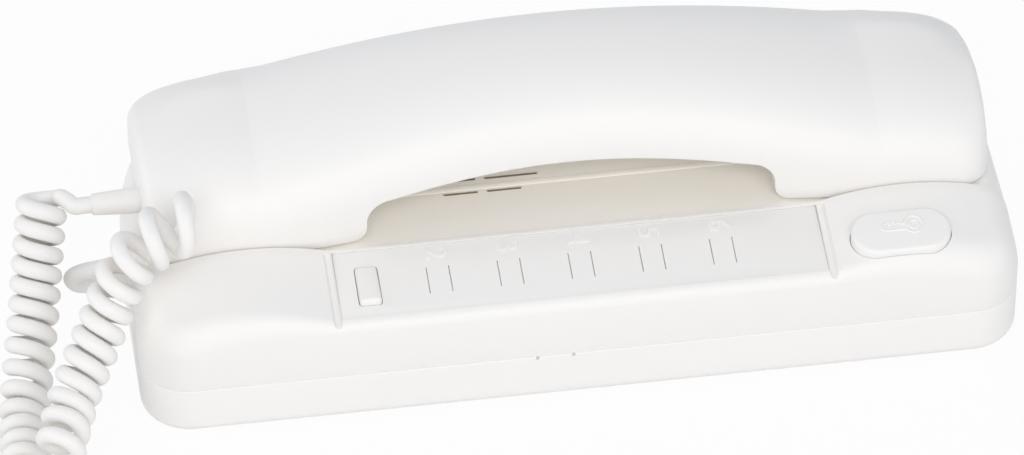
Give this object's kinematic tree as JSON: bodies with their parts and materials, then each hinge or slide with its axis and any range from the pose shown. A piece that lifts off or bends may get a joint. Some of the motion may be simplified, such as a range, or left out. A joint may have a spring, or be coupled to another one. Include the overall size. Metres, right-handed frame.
{
  "type": "wall intercom phone",
  "caption": "Ivory wall intercom phone: a handset in the cradle of a base with a call button, a door button and a speaker grille, joined to it by a curly cord.",
  "frame": {"origin": "centre of the base's back face, which lies against the wall", "axes": "+Z away from the wall, +X along the length away from the cord's end, -Y towards the button side"},
  "size_m": [0.2574, 0.1161, 0.0665],
  "materials": {
    "shell": "fine satin moulded plastic",
    "cord": "smooth soft plastic",
    "board": "solder mask",
    "dark_plastic": "matte",
    "terminal": "matte",
    "foam": "soft",
    "steel": "bright"
  },
  "bodies": {
    "base": {"back_plate": "shell", "front_cover": "shell", "button_panel": "shell", "circuit_board": "board", "board_screws": "steel", "terminal_block": "terminal", "terminal_screws": "steel", "cord_connector": "shell", "call_switch": "dark_plastic", "door_switch": "dark_plastic", "call_spring": "steel", "door_spring": "steel", "hook_spring": "steel", "hook_switch": "dark_plastic", "call_speaker": "dark_plastic", "speaker_clip": "steel", "speaker_screws": "steel", "base_cord_boot": "cord", "curly_cord": "cord"},
    "call_key": {"call_button": "shell"},
    "door_key": {"door_button": "shell"},
    "hook": {"hook_plunger": "shell"},
    "handset": {"handset_outer_shell": "shell", "handset_inner_shell": "shell", "earpiece_capsule": "dark_plastic", "earpiece_gasket": "foam", "microphone_capsule": "steel", "microphone_boot": "foam", "handset_screws": "steel", "handset_cord_boot": "cord"}
  },
  "joints": [
    {"name": "handset_lift", "type": "slide", "parent": "base", "child": "handset", "axis": [0, 0, 1], "range_m": [0, 0.08], "deforming": ["curly_cord"]},
    {"name": "hook_rise", "type": "slide", "parent": "base", "child": "hook", "axis": [0, 0, 1], "range_m": [0, 0.004], "deforming": ["hook_spring"]},
    {"name": "call_press", "type": "slide", "parent": "base", "child": "call_key", "axis": [0, 0, -1], "range_m": [0, 0.0015], "stiffness_N_per_m": 400, "deforming": ["call_spring"]},
    {"name": "door_press", "type": "slide", "parent": "base", "child": "door_key", "axis": [0, 0, -1], "range_m": [0, 0.0015], "stiffness_N_per_m": 500, "deforming": ["door_spring"]}
  ],
  "couplings": [
    {"joint": "hook_rise", "follows": "handset_lift", "ratio": 0.05}
  ]
}
